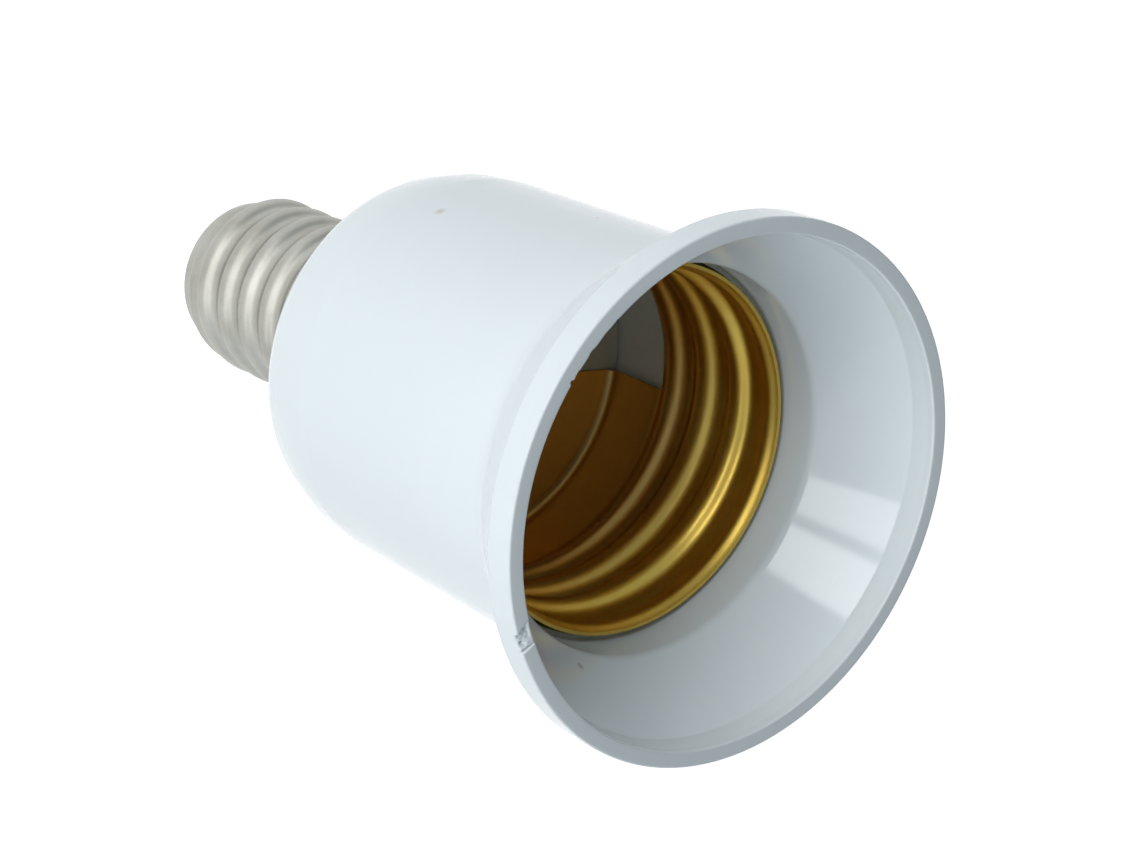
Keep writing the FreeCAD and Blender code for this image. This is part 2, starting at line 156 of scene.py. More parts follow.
def turned_points(radius, height, angle):
    """Points from radius and height on a grid of (angle, row), with angle in degrees."""
    turn = np.radians(angle)[:, None]
    radius = np.broadcast_to(radius, (len(angle), np.shape(height)[-1]))
    height = np.broadcast_to(height, radius.shape)
    return np.stack([radius*np.cos(turn), radius*np.sin(turn), height], -1)


# %% [markdown]
# ## Sections with rounded corners
# A moulded or rolled section is a chain of straight runs whose corners are rounded by tangent arcs. The
# points sit close together on the arcs and just beside them, so that smooth shading keeps flat runs flat.

# %% A rounded section as an array
SMALL_ROUND = 0.28


def rounded_section(corners, step=0.8, arc_step=12.0, beside=0.04, closed=False):
    """(radius, height) points along corners (radius, height, round).

    At a corner whose sides meet at an angle, the arc leaves each side at round times the cotangent of half
    that angle from the corner, and its centre lies on the bisector. Small rounds take half as many points.
    """
    spots = np.array([c[:2] for c in corners], float)
    rounds = np.array([c[2] if len(c) > 2 else 0.0 for c in corners])
    count = len(corners)
    pieces = []
    for i in range(count):
        if rounds[i] == 0 or (not closed and i in (0, count - 1)):
            pieces.append(spots[i:i + 1])
            continue
        back = spots[i - 1] - spots[i]
        ahead = spots[(i + 1) % count] - spots[i]
        back /= np.linalg.norm(back)
        ahead /= np.linalg.norm(ahead)
        half = math.acos(np.clip(back @ ahead, -1, 1))/2
        middle = (back + ahead)/np.linalg.norm(back + ahead)
        centre = spots[i] + middle*rounds[i]/math.sin(half)
        sweep = math.pi - 2*half
        arc_turn = 2*arc_step if rounds[i] < SMALL_ROUND else arc_step
        number = max(3, math.ceil(math.degrees(sweep)/arc_turn) + 1)
        turn = np.linspace(-sweep/2, sweep/2, number)[:, None]
        side = ahead - middle*(ahead @ middle)
        side /= np.linalg.norm(side)
        pieces.append(centre - middle*rounds[i]*np.cos(turn) + side*rounds[i]*np.sin(turn))
    line = []
    for i in range(count if closed else count - 1):
        start = pieces[i][-1]
        stop = pieces[(i + 1) % count][0]
        gap = np.linalg.norm(stop - start)
        number = max(1, math.ceil((gap - 2*beside)/step))
        share = np.concatenate([[beside/gap], np.linspace(beside, gap - beside, number + 1)[1:-1]/gap,
                                [1 - beside/gap]]) if gap > 4*beside else np.zeros(0)
        line.append(pieces[i])
        line.append(start + (stop - start)*share[:, None])
    if not closed:
        line.append(pieces[-1])
    return np.concatenate(line)


def smooth(share):
    """Smooth step: 3 s squared minus 2 s cubed, between 0 and 1."""
    share = np.clip(share, 0, 1)
    return share*share*(3 - 2*share)


# %% [markdown]
# ## The rolled wave
# A lamp thread is rolled in thin sheet, so its section is a wave of two equal arcs that meet where the
# wave is steepest. The height of the wave depends only on how far a point lies along the pitch, and a
# helix appears because that distance also grows with the angle round the axis.

# %% Height of a rolled thread
def wave(share, pitch, depth):
    """0 at a root and 1 at a crest, by two tangent arcs.

    Their radius is pitch / (4 sin t), where t, the steepest slope, is 2 atan(2 depth / pitch).
    """
    spot = np.mod(share, 1.0)*pitch
    turn = 2*math.atan(2*depth/pitch)
    arc = pitch/(4*math.sin(turn))
    from_crest = np.abs(spot - pitch/2)
    from_root = pitch/2 - from_crest
    crest = 1 - (arc - np.sqrt(arc**2 - np.minimum(from_crest, pitch/4)**2))/depth
    root = (arc - np.sqrt(arc**2 - np.minimum(from_root, pitch/4)**2))/depth
    return np.where(from_crest <= pitch/4, crest, root)


# %% [markdown]
# ## The gold shell for the large lamp
# It is drawn and rolled from one disc of thin sheet: a wall with the thread, a small round corner, and a
# floor with a hole round the boss of the contact carrier. Two cut-outs low in the wall are where tabs were
# bent down to hold the shell and to take a wire. Wall, corner and floor are rows of one grid. The thread is
# a little shallower than the solid's, as it looks in the photograph, and a round bead ends it at the mouth.

# %% Large shell
LAMP_MAJOR = 13.25
LAMP_PLAIN = 13.0
LAMP_DEPTH = 0.8
LAMP_PITCH = 3.629
LAMP_RIDGE = 45.95
LAMP_RIDGE_ANGLE = 90.0
LAMP_CORNER = 0.8
LAMP_HOLE = 6.9
LAMP_STEP = 1.25
LAMP_BEND_ROWS = 9
LAMP_FLOOR_ROWS = 14
BEAD_HEIGHT = 0.8
BEAD_SPREAD = 0.68
BEAD_DEPTH = 0.38
BEAD_FLARE = 0.06
RUN_IN = (2.1, 3.6)
RUN_OUT = (5.0, 7.5)
WINDOWS = (136.0, 316.0)
WINDOW_SPAN = 48.0
WINDOW_HEIGHT = 6.05
WINDOW_TOP = CARRIER_TOP + WINDOW_HEIGHT
TAB_REACH = 9.0
TAB_WIDTH = 7.0
TAB_END = 11.55
TAB_ROOT = 0.3
TAB_BEND = 0.3
TAB_MARGIN = 0.1
TAB_STEP = 5.0


def lamp_wall(angle, height):
    """Inner radius of the wall: the plain radius swells to the major one, and ridges stand in by the wave.

    The ridge lies where height equals the ridge height plus the pitch for each turn of the angle. Near the
    mouth the thread runs out, and one round bead, a bell curve of the height, stands in before the edge
    flares out.
    """
    run_in = smooth((SHELL_MOUTH - RUN_IN[0] - height)/(RUN_IN[1] - RUN_IN[0]))
    run_out = smooth((height - CARRIER_TOP - RUN_OUT[0])/(RUN_OUT[1] - RUN_OUT[0]))
    share = (height - LAMP_RIDGE)/LAMP_PITCH - (angle - LAMP_RIDGE_ANGLE)/360
    wall = LAMP_PLAIN + (LAMP_MAJOR - LAMP_PLAIN)*run_out
    thread = LAMP_DEPTH*run_in*run_out*(1 - wave(share, LAMP_PITCH, LAMP_DEPTH))
    bead = BEAD_DEPTH*np.exp(-((height - SHELL_MOUTH + BEAD_HEIGHT)/BEAD_SPREAD)**2)
    edge = BEAD_FLARE*smooth((height - SHELL_MOUTH + BEAD_HEIGHT)/BEAD_HEIGHT)
    return wall - np.maximum(thread, bead) + edge


def lamp_shell_grid():
    """Inner and outer points and the cells that exist, from the mouth down to the hole in the floor."""
    edges = np.array(WINDOWS)[:, None] + np.array([-1, 1])*WINDOW_SPAN/2
    angle = np.unique(np.concatenate([np.arange(0, 360, LAMP_STEP), edges.ravel()]))
    corner_foot = CARRIER_TOP + SHEET + LAMP_CORNER
    rows = np.linspace(corner_foot, SHELL_MOUTH, SHELL_ROWS)
    height = np.unique(np.append(rows, WINDOW_TOP))[::-1]
    bend = np.radians(np.linspace(0, 90, LAMP_BEND_ROWS))[1:]
    centre = LAMP_PLAIN - LAMP_CORNER
    rows = np.linspace(LAMP_HOLE, centre, LAMP_FLOOR_ROWS)
    floor = np.unique(np.append(rows, TAB_REACH))[::-1][1:]
    wall = lamp_wall(angle[:, None], height[None, :])

    def skin(offset):
        radius = np.concatenate([centre + (LAMP_CORNER + offset)*np.cos(bend), floor])
        level = np.concatenate([corner_foot - (LAMP_CORNER + offset)*np.sin(bend),
                                np.full(len(floor), CARRIER_TOP + SHEET - offset)])
        radius = np.concatenate([wall + offset, np.broadcast_to(radius, (len(angle), len(radius)))], 1)
        return turned_points(radius, np.concatenate([height, level]), angle), level

    inner, level = skin(0.0)
    outer, _ = skin(SHEET)
    rows_height = np.concatenate([height, level])
    rows_radius = np.concatenate([np.full(len(height), LAMP_PLAIN), centre + LAMP_CORNER*np.cos(bend), floor])
    middle_height = (rows_height[1:] + rows_height[:-1])/2
    middle_radius = (rows_radius[1:] + rows_radius[:-1])/2
    following = np.append(angle[1:], angle[0] + 360)
    middle_angle = (angle + following)/2
    away = np.abs((middle_angle[:, None] - np.array(WINDOWS) + 180) % 360 - 180).min(1)
    low_and_wide = (middle_height < WINDOW_TOP) & (middle_radius > TAB_REACH)
    cut = (away[:, None] < WINDOW_SPAN/2) & low_and_wide[None, :]
    return inner, outer, ~cut


def tab_grid(angle):
    """A strip that leaves the floor, bends down through the carrier and out under it."""
    over = rounded_section([
        (TAB_REACH - TAB_ROOT, CARRIER_TOP + SHEET),
        (TAB_REACH + SHEET, CARRIER_TOP + SHEET, TAB_BEND + SHEET),
        (TAB_REACH + SHEET, CARRIER_FOOT, TAB_BEND),
        (TAB_END, CARRIER_FOOT),
    ], step=TAB_STEP)
    under = rounded_section([
        (TAB_REACH - TAB_ROOT, CARRIER_TOP),
        (TAB_REACH, CARRIER_TOP, TAB_BEND),
        (TAB_REACH, CARRIER_FOOT - SHEET, TAB_BEND + SHEET),
        (TAB_END, CARRIER_FOOT - SHEET),
    ], step=TAB_STEP)
    count = min(len(over), len(under))
    half = TAB_WIDTH/2
    side = np.array([-half, -half + TAB_MARGIN, half - TAB_MARGIN, half])
    turn = math.radians(angle)
    out = np.array([math.cos(turn), math.sin(turn), 0])
    across = np.array([-math.sin(turn), math.cos(turn), 0])
    skins = []
    for line in (over[:count], under[:count]):
        spots = line[:, :1]*out + line[:, 1:]*np.array([0, 0, 1])
        skins.append(spots[None] + side[:, None, None]*across)
    return skins[0], skins[1]


def lamp_shell():
    """Joins the shell and its two tabs in one mesh."""
    inner, outer, keep = lamp_shell_grid()
    points = [inner.reshape(-1, 3), outer.reshape(-1, 3)]
    faces = [outward(np.concatenate(points), sheet_faces(inner.shape[0], inner.shape[1], keep))]
    total = 2*inner.shape[0]*inner.shape[1]
    for angle in WINDOWS:
        over, under = tab_grid(angle)
        shape = over.shape[:2]
        tab_points = np.concatenate([over.reshape(-1, 3), under.reshape(-1, 3)])
        quads = sheet_faces(shape[0], shape[1], np.ones((shape[0] - 1, shape[1] - 1), bool), around=False)
        faces.append(outward(tab_points, quads) + total)
        points.append(tab_points)
        total += len(tab_points)
    return make_piece("lamp_shell_rolled", np.concatenate(points), np.concatenate(faces))


lamp_shell_piece = lamp_shell()

# %% [markdown]
# ## The nickel shell of the small cap
# The same wave, seen from outside: a plain collar under the bell, the thread, and an end that narrows and
# curls in under the neck, round the insulating nose. Below the thread the rows follow a rounded section,
# and there the inner skin is the outer one moved in by the sheet's thickness along its normal.

# %% Small shell
BASE_MAJOR = 6.945
BASE_DEPTH = 0.54
BASE_PITCH = 2.822
BASE_ROOT = 4.32
BASE_ROOT_ANGLE = -90.0
BASE_COLLAR = 4.25
BASE_RUN_IN = 1.9
BASE_END_RADIUS = 6.1
BASE_END = 2.9
BASE_END_FALL = 1.6
BASE_END_RUN = 1.1
BASE_FOOT = 1.6
BASE_FOOT_ROUND = 0.9
BASE_FOOT_INSET = 0.3
BASE_FOOT_STEP = 0.3
BASE_HOLE = 4.75
BASE_STEP = 360/256


def base_wall(angle, height):
    """Outer radius: the crest falls towards the end, and roots lie below it by the wave."""
    run_in = smooth((BELL_FOOT - BASE_COLLAR - height)/BASE_RUN_IN)
    run_out = smooth((height - BASE_END)/BASE_END_RUN)
    crest = BASE_END_RADIUS + (BASE_MAJOR - BASE_END_RADIUS)*smooth((height - BASE_END)/BASE_END_FALL)
    share = (height - BASE_ROOT)/BASE_PITCH - (angle - BASE_ROOT_ANGLE)/360
    return crest - BASE_DEPTH*run_in*run_out*(1 - wave(share, BASE_PITCH, BASE_DEPTH))


def base_shell():
    """Outer skin of wall and curled end, and the inner skin one sheet further in."""
    angle = np.arange(0, 360, BASE_STEP)
    height = np.linspace(BASE_END, BELL_FOOT, SHELL_ROWS)[::-1]
    wall = base_wall(angle[:, None], height[None, :])
    end = rounded_section([
        (BASE_END_RADIUS, BASE_END),
        (BASE_END_RADIUS - BASE_FOOT_INSET, BASE_FOOT, BASE_FOOT_ROUND),
        (BASE_HOLE, BASE_FOOT),
    ], step=BASE_FOOT_STEP)[1:]
    slope = np.gradient(end, axis=0)
    slope /= np.linalg.norm(slope, axis=1)[:, None]
    inside = end + SHEET*np.stack([slope[:, 1], -slope[:, 0]], 1)
    tall = np.ones((len(angle), 1))
    outer = turned_points(np.concatenate([wall, tall*end[:, 0]], 1),
                          np.concatenate([height, end[:, 1]]), angle)
    inner = turned_points(np.concatenate([wall - SHEET, tall*inside[:, 0]], 1),
                          np.concatenate([height, inside[:, 1]]), angle)
    keep = np.ones((len(angle), outer.shape[1] - 1), bool)
    points = np.concatenate([outer.reshape(-1, 3), inner.reshape(-1, 3)])
    return make_piece("base_shell_rolled", points, sheet_faces(len(angle), outer.shape[1], keep))


base_shell_piece = base_shell()

# %% [markdown]
# ## The moulded housing
# One section turned about the axis gives the whole moulding: rim band, flare, barrel, round shoulder, the
# hollow neck inside the small cap, and the bores, with the low ridge that holds the carrier. It could also
# be cut from a cylinder, but a turned section keeps every round an even strip of quads. A narrow groove
# round the gold mouth leaves the dark line that the photograph shows. The hidden hole and groove for one
# lead are left out, because they would break the section.

# %% Housing section
RIM = 19.2
BAND = 2.3
BAND_STEP = 0.2
BAND_ROUND = 0.06
BARREL = 15.17
DRAFT = 1.5
FLARE_SLOPE = 0.6475
FLARE_FILLET = 3.0
SHOULDER = 16.7
SHOULDER_TURN = 17.8
SHOULDER_HEIGHT = 4.81
CORNER = 3.45
LIP = 18.0
LIP_DROP = 1.9
LIP_DRAFT = 0.2
LIP_ROUND = 0.3
SEAT = 14.0
SEAT_DROP = 0.9
SEAT_ROUND = 1.0
FLARE_DEPTH = 8.0
BORE = 13.7
LEDGE = 1.5
FLOOR = 1.7
COLLAR_SEAT = 6.62
NECK = 5.75
NECK_BORE = 4.2
NOSE = 4.6
NOSE_FOOT = 1.0
NOSE_TOP = 2.6
NOSE_TAPER = 2.0
EYELET_HOLE = 1.3
EYELET_TOP = 3.6
EDGE = 0.25
RIM_EDGE = 0.15
FINE_EDGE = 0.05
RIM_FINE_DEPTH = 0.6
RIM_COARSE_DEPTH = 0.64
RIM_STEP = 0.08
RIM_ARC_STEP = 9.0
PLAIN_STEP = 4.0
SNAP_REACH = 0.4
SNAP_HALF = 0.4
SNAP_LEVEL = 1.125
SNAP_ROUND = 0.1
CAVITY_ROUND = 2.0


def housing_section():
    """Closed section of the moulding, from the lip over the rim, down outside, up inside."""
    knee = TOP - BAND - (RIM - BAND_STEP - BARREL)/FLARE_SLOPE
    shoulder = BELL_FOOT + SHOULDER_HEIGHT
    shoulder_out = BARREL - (knee - shoulder)*math.tan(math.radians(DRAFT))
    corner_out = shoulder_out - SHOULDER_HEIGHT*math.tan(math.radians(DRAFT + SHOULDER_TURN))
    collar_foot = BELL_FOOT - BASE_COLLAR
    cavity_floor = BELL_FOOT + FLOOR
    cavity = BORE - LEDGE
    rim = rounded_section([
        (LIP, TOP - RIM_FINE_DEPTH),
        (LIP, TOP, RIM_EDGE),
        (RIM, TOP, RIM_EDGE),
        (RIM, TOP - RIM_FINE_DEPTH),
    ], step=RIM_STEP, arc_step=RIM_ARC_STEP)
    rest = rounded_section([
        (RIM, TOP - RIM_COARSE_DEPTH),
        (RIM, TOP - BAND, EDGE/2),
        (RIM - BAND_STEP, TOP - BAND, BAND_ROUND),
        (BARREL, knee, FLARE_FILLET),
        (shoulder_out, shoulder, SHOULDER),
        (corner_out, BELL_FOOT, CORNER),
        (COLLAR_SEAT, BELL_FOOT, FINE_EDGE),
        (COLLAR_SEAT, collar_foot, FINE_EDGE),
        (NECK, collar_foot, FINE_EDGE),
        (NECK, NOSE_TOP + NOSE_TAPER),
        (NOSE, NOSE_TOP),
        (NOSE, NOSE_FOOT, EDGE),
        (EYELET_HOLE, NOSE_FOOT, FINE_EDGE),
        (EYELET_HOLE, EYELET_TOP, FINE_EDGE),
        (NECK_BORE, EYELET_TOP, EDGE),
        (NECK_BORE, cavity_floor, EDGE),
        (cavity, cavity_floor, CAVITY_ROUND),
        (cavity, CARRIER_FOOT, FINE_EDGE),
        (BORE, CARRIER_FOOT, FINE_EDGE),
        (BORE, CARRIER_FOOT + SNAP_LEVEL - SNAP_HALF),
        (BORE - SNAP_REACH, CARRIER_FOOT + SNAP_LEVEL, SNAP_ROUND),
        (BORE, CARRIER_FOOT + SNAP_LEVEL + SNAP_HALF),
        (BORE, SHELL_MOUTH - SEAT_DROP, FINE_EDGE),
        (SEAT, SHELL_MOUTH - SEAT_DROP, FINE_EDGE),
        (SEAT, TOP - FLARE_DEPTH, SEAT_ROUND),
        (LIP - LIP_DRAFT, TOP - LIP_DROP, LIP_ROUND),
        (LIP, TOP - RIM_COARSE_DEPTH),
    ], step=PLAIN_STEP)
    return np.concatenate([rim, rest])


# %% [markdown]
# ## Marks on the rim
# The gate is where the plastic entered the mould, and on the real rim its stub was broken off and left a
# scoop. The nicks are knocks on the inner edge, each with its angle, its depth and its half width in
# degrees. They could be cut out with boolean solids, but that would break up the grid, so each mark is a
# smooth function that moves the points near it.

# %% Marks on the rim
GATE = (314.1, 321.1)
GATE_SLANT = (2.4, 0.6)
GATE_INNER = 18.22
GATE_DEPTH = (0.3, 0.55)
GATE_RISE = 0.9
GATE_FACET = (1.9, 0.35)
GATE_CRACK = (0.22, 0.3, 0.16)
GATE_SINK = (319.1, 18.86, 0.16, 0.24)
GATE_BROW = 0.07
GATE_END = 0.18
GATE_GRAIN = (0.03, 4.3, 17.0)
GATE_RIPPLE = (0.02, 9.1, 1.3)
GRAIN_START = 0.25
MARK_DEPTH = 1.6
NICK_MARGIN = (0.1, 0.35)
NICK_FADE = (0.2, 0.3)
NICK_DROP = 0.75
NICK_PUSH = 0.5
NICKS = ((262.9, 0.18, 0.45), (260.9, 0.09, 0.9), (255.6, 0.1, 0.8), (251.0, 0.06, 1.0), (247.2, 0.08, 0.3))


def turn_from(angle, place):
    """Shortest turn between two angles, in degrees."""
    return (angle - place + 180) % 360 - 180


def mark_rim(points, angle):
    """Breaks the rim away where the gate was, and knocks small nicks out of the rim's inner edge.

    The scoop deepens outward. It starts along a slanted line with a steep facet, long at its inner end and
    short at its outer end. From there its floor rises steadily to the far end, where a crack ends it. A
    dimple lies in its floor.
    """
    radius = np.hypot(points[..., 0], points[..., 1])
    height = points[..., 2].copy()
    outward_share = np.clip((radius - LIP)/(RIM - LIP), 0, 1)
    start = turn_from(angle, GATE[0])[:, None] - GATE_SLANT[0]*outward_share
    end = turn_from(GATE[1], angle)[:, None] - GATE_SLANT[1]*(1 - outward_share)
    length = GATE_FACET[1] + (GATE_FACET[0] - GATE_FACET[1])*(1 - outward_share)
    facet = np.clip(start/length, 0, 1)*smooth(end/GATE_END)
    scoop = GATE_DEPTH[0] + (GATE_DEPTH[1] - GATE_DEPTH[0])*outward_share
    scoop = scoop*(1 - GATE_RISE*np.clip(start/(start + end), 0, 1))
    scoop = np.where(radius < GATE_INNER, GATE_BROW, scoop)
    crack = GATE_CRACK[0]*np.exp(-((end - GATE_CRACK[1])/GATE_CRACK[2])**2)*(radius > GATE_INNER)
    size, along, across = GATE_GRAIN
    grain = size*np.sin(angle*along)[:, None]*np.sin(radius*across)
    size, along, phase = GATE_RIPPLE
    grain = grain + size*np.sin(angle*along + phase)[:, None]
    top = np.clip((height - TOP + MARK_DEPTH)/MARK_DEPTH, 0, 1)
    drop = facet*top*(scoop + crack + grain*(outward_share > GRAIN_START))
    place, ring, size, sink = GATE_SINK
    far = np.hypot(np.radians(turn_from(angle, place))[:, None]*ring, radius - ring)/size
    drop = drop + facet*top*sink*np.exp(-far**2)*(radius > GATE_INNER)
    shift = np.zeros_like(radius)
    for place, depth, width in NICKS:
        dent = np.exp(-np.abs(turn_from(angle, place)[:, None]/width)**3)
        inner = smooth((LIP + depth + NICK_MARGIN[0] - radius)/NICK_FADE[0])
        near = inner*smooth((height - TOP + depth + NICK_MARGIN[1])/NICK_FADE[1])
        shift = np.maximum(shift, depth*dent*near)
    height = height - drop - NICK_DROP*shift
    out = 1 + NICK_PUSH*shift/radius
    return np.stack([points[..., 0]*out, points[..., 1]*out, height], -1)


# %% Turned housing
RING_STEP = 1.5
NICK_RING = (245.0, 266.0, 0.22)
GATE_RING = (313.5, 322.5, 0.15)


def housing():
    """The section on a ring of angles, dense where the marks are."""
    section = housing_section()
    rings = [np.arange(0, 360, RING_STEP), np.arange(*NICK_RING), np.arange(*GATE_RING)]
    angle = np.unique(np.round(np.concatenate(rings), 4))
    points = turned_points(section[None, :, 0], section[:, 1], angle)
    points = mark_rim(points, angle)
    faces = cells(grid_index(len(angle), len(section)), True, True).reshape(-1, 4)
    return make_piece("housing_moulded", points.reshape(-1, 3), faces, crease=50.0)


housing_piece = housing()

# %% [markdown]
# ## Finishes
# Each finish is a small network of nodes on object coordinates. A helper makes a material with one shader,
# and a few more add noise, a bump or a colour ramp. Values that are the same all over go on the shader.

# %% Helpers for node networks
def new_finish(name, colour, metallic=0.0, roughness=0.4, **sockets):
    """Material with one Principled shader; extra sockets are set by name."""
    finish = bpy.data.materials.new(name)
    finish.use_nodes = True
    tree = finish.node_tree
    shader = tree.nodes["Principled BSDF"]
    shader.inputs["Base Color"].default_value = (*colour, 1)
    shader.inputs["Metallic"].default_value = metallic
    shader.inputs["Roughness"].default_value = roughness
    for socket, value in sockets.items():
        shader.inputs[socket.replace("_", " ")].default_value = value
    return finish, tree, shader


def add_node(tree, kind, inputs=None, **settings):
    """Adds a node, sets its settings, then links or fills its inputs."""
    node = tree.nodes.new(kind)
    for key, value in settings.items():
        setattr(node, key, value)
    for key, value in (inputs or {}).items():
        if isinstance(value, bpy.types.NodeSocket):
            tree.links.new(value, node.inputs[key])
        else:
            node.inputs[key].default_value = value
    return node


def object_place(tree, scale=(1, 1, 1)):
    """Object coordinates, stretched by scale."""
    place = add_node(tree, "ShaderNodeTexCoord").outputs["Object"]
    mapping = add_node(tree, "ShaderNodeMapping", {"Vector": place})
    mapping.inputs["Scale"].default_value = scale
    return mapping.outputs["Vector"]


def noise(tree, place, scale, detail=3.0, roughness=0.5):
    """Noise between 0 and 1."""
    node = add_node(tree, "ShaderNodeTexNoise", {"Vector": place, "Scale": scale, "Detail": detail,
                                                 "Roughness": roughness})
    return node.outputs["Fac"]


def ramp(tree, fac, low, high, colour_low, colour_high):
    """Colour that runs from one value to another between two places of fac."""
    node = add_node(tree, "ShaderNodeValToRGB", {"Fac": fac})
    node.color_ramp.elements[0].position = low
    node.color_ramp.elements[1].position = high
    node.color_ramp.elements[0].color = (*colour_low, 1)
    node.color_ramp.elements[1].color = (*colour_high, 1)
    return node.outputs["Color"]


def rescale(tree, fac, low, high):
    """Maps 0 to 1 onto low to high."""
    node = add_node(tree, "ShaderNodeMapRange", {"Value": fac, "To Min": low, "To Max": high})
    return node.outputs["Result"]


def bump(tree, height, strength, distance, normal=None):
    """Bump from a height, with its depth in metres."""
    inputs = {"Height": height, "Strength": strength, "Distance": distance}
    if normal is not None:
        inputs["Normal"] = normal
    return add_node(tree, "ShaderNodeBump", inputs).outputs["Normal"]


def spot_fac(tree, place, radius):
    """1 inside a small round spot about a point and 0 outside, with a soft edge."""
    here = add_node(tree, "ShaderNodeTexCoord").outputs["Object"]
    far = add_node(tree, "ShaderNodeVectorMath", {0: here, 1: place}, operation="DISTANCE").outputs["Value"]
    node = add_node(tree, "ShaderNodeMapRange", {"Value": far, "From Min": radius, "From Max": 0.2*radius,
                                                 "To Min": 0.0, "To Max": 1.0})
    return node.outputs["Result"]


def mix_colour(tree, fac, first, second):
    """Blend of two colours."""
    node = add_node(tree, "ShaderNodeMix", data_type="RGBA")
    tree.links.new(fac, node.inputs["Factor"])
    for key, value in ((6, first), (7, second)):
        if isinstance(value, bpy.types.NodeSocket):
            tree.links.new(value, node.inputs[key])
        else:
            node.inputs[key].default_value = (*value, 1)
    return node.outputs[2]


# %% [markdown]
# ## White plastic
# The moulding is glossy and faintly cool. Its gloss is broken by the texture of the mould, by slow waves
# where the plastic shrank, and by a few specks in the resin. A speck has its angle, height and radius on
# the moulding, then its size and tone. Light enters the plastic a little, which softens the shade on thin
# walls.

# %% Moulded white
SPECKS = ((229.0, 34.0, 14.72, 0.5, 0.6), (358.75, 54.54, 14.87, 0.4, 0.5), (205.0, 44.0, 15.0, 0.16, 0.42),
          (338.0, 30.5, 14.6, 0.2, 0.42))


def speck_place(angle, height, radius):
    """Point on the moulding in metres."""
    turn = math.radians(angle)
    return (radius*math.cos(turn)*MM, radius*math.sin(turn)*MM, height*MM)


def moulded_white():
    """Glossy white with mould texture, shrink waves and specks."""
    finish, tree, shader = new_finish("moulded_white", (0.775, 0.84, 0.865), roughness=0.11, IOR=1.5,
                                      Subsurface_Weight=0.12, Subsurface_Scale=0.0015)
    shader.inputs["Subsurface Radius"].default_value = (1.0, 0.95, 0.9)
    place = object_place(tree)
    cloud = noise(tree, place, 70.0, 4.0)
    colour = ramp(tree, cloud, 0.3, 0.7, (0.765, 0.832, 0.858), (0.785, 0.848, 0.872))
    for angle, height, radius, size, tone in SPECKS:
        spot = spot_fac(tree, speck_place(angle, height, radius), size*MM)
        colour = mix_colour(tree, spot, colour, (tone, 0.97*tone, 0.93*tone))
    tree.links.new(colour, shader.inputs["Base Color"])
    fine = noise(tree, place, 2600.0, 2.0)
    tree.links.new(rescale(tree, noise(tree, place, 240.0, 3.0), 0.07, 0.15), shader.inputs["Roughness"])
    slow = bump(tree, noise(tree, place, 90.0, 1.0), 0.12, 0.0004)
    tree.links.new(bump(tree, fine, 0.06, 0.00002, slow), shader.inputs["Normal"])
    return finish


def carrier_white():
    """Duller insulating plastic under the shell."""
    finish, tree, shader = new_finish("carrier_white", (0.62, 0.62, 0.56), roughness=0.5)
    place = object_place(tree)
    colour = ramp(tree, noise(tree, place, 160.0, 4.0), 0.3, 0.7, (0.56, 0.56, 0.5), (0.66, 0.66, 0.6))
    tree.links.new(colour, shader.inputs["Base Color"])
    tree.links.new(bump(tree, noise(tree, place, 1500.0), 0.2, 0.00004), shader.inputs["Normal"])
    return finish


# %% [markdown]
# ## Rolled metals
# The rollers leave fine lines round the axis, so the noise is stretched: slow across the axis and quick
# along it. The same lines vary the roughness, and a slower cloud tints the metal where it has aged. Deep in
# the socket the gold is painted darker and browner: a painted shade for the light that the rim keeps out.

# %% Gold, nickel and the small metals
def rolled_metal(name, light, dark, rough, painted_shade=None, edge=(1, 1, 1, 1)):
    """Metal with roller lines round the axis and a cloudy tint.

    Painted shade holds a lit height, a shaded height and the shade colour: from the first height to the
    second the colour is painted darker, a painted shade deep in the socket. Edge is the tint at a grazing
    angle.
    """
    finish, tree, shader = new_finish(name, light, metallic=1.0, roughness=sum(rough)/2, Specular_Tint=edge)
    lines = noise(tree, object_place(tree, (60, 60, 5200)), 1.0, 3.0)
    cloud = noise(tree, object_place(tree), 220.0, 5.0, 0.6)
    colour = ramp(tree, cloud, 0.35, 0.7, light, dark)
    if painted_shade is not None:
        # Painted shade: the colour turns darker and browner with depth, where little light reaches.
        lit_height, dull, shade_colour = painted_shade
        height = add_node(tree, "ShaderNodeSeparateXYZ", {"Vector": object_place(tree)}).outputs["Z"]
        share = add_node(tree, "ShaderNodeMapRange",
                         {"Value": height, "From Min": lit_height*MM, "From Max": dull*MM},
                         interpolation_type="SMOOTHSTEP").outputs["Result"]
        colour = mix_colour(tree, share, colour, shade_colour)
    tree.links.new(colour, shader.inputs["Base Color"])
    tree.links.new(rescale(tree, lines, *rough), shader.inputs["Roughness"])
    pits = noise(tree, object_place(tree), 1500.0, 2.0)
    grain = bump(tree, pits, 0.15, 0.00001)
    tree.links.new(bump(tree, lines, 0.35, 0.000006, grain), shader.inputs["Normal"])
    return finish


def small_metal(name, light, dark, rough, scale=900.0):
    """Metal of a small pressed or drawn piece, with a cloudy tint and a fine grain."""
    finish, tree, shader = new_finish(name, light, metallic=1.0, roughness=sum(rough)/2)
    place = object_place(tree)
    colour = ramp(tree, noise(tree, place, scale/3, 4.0), 0.3, 0.75, light, dark)
    tree.links.new(colour, shader.inputs["Base Color"])
    tree.links.new(rescale(tree, noise(tree, place, scale), *rough), shader.inputs["Roughness"])
    tree.links.new(bump(tree, noise(tree, place, 2*scale), 0.25, 0.00001), shader.inputs["Normal"])
    return finish


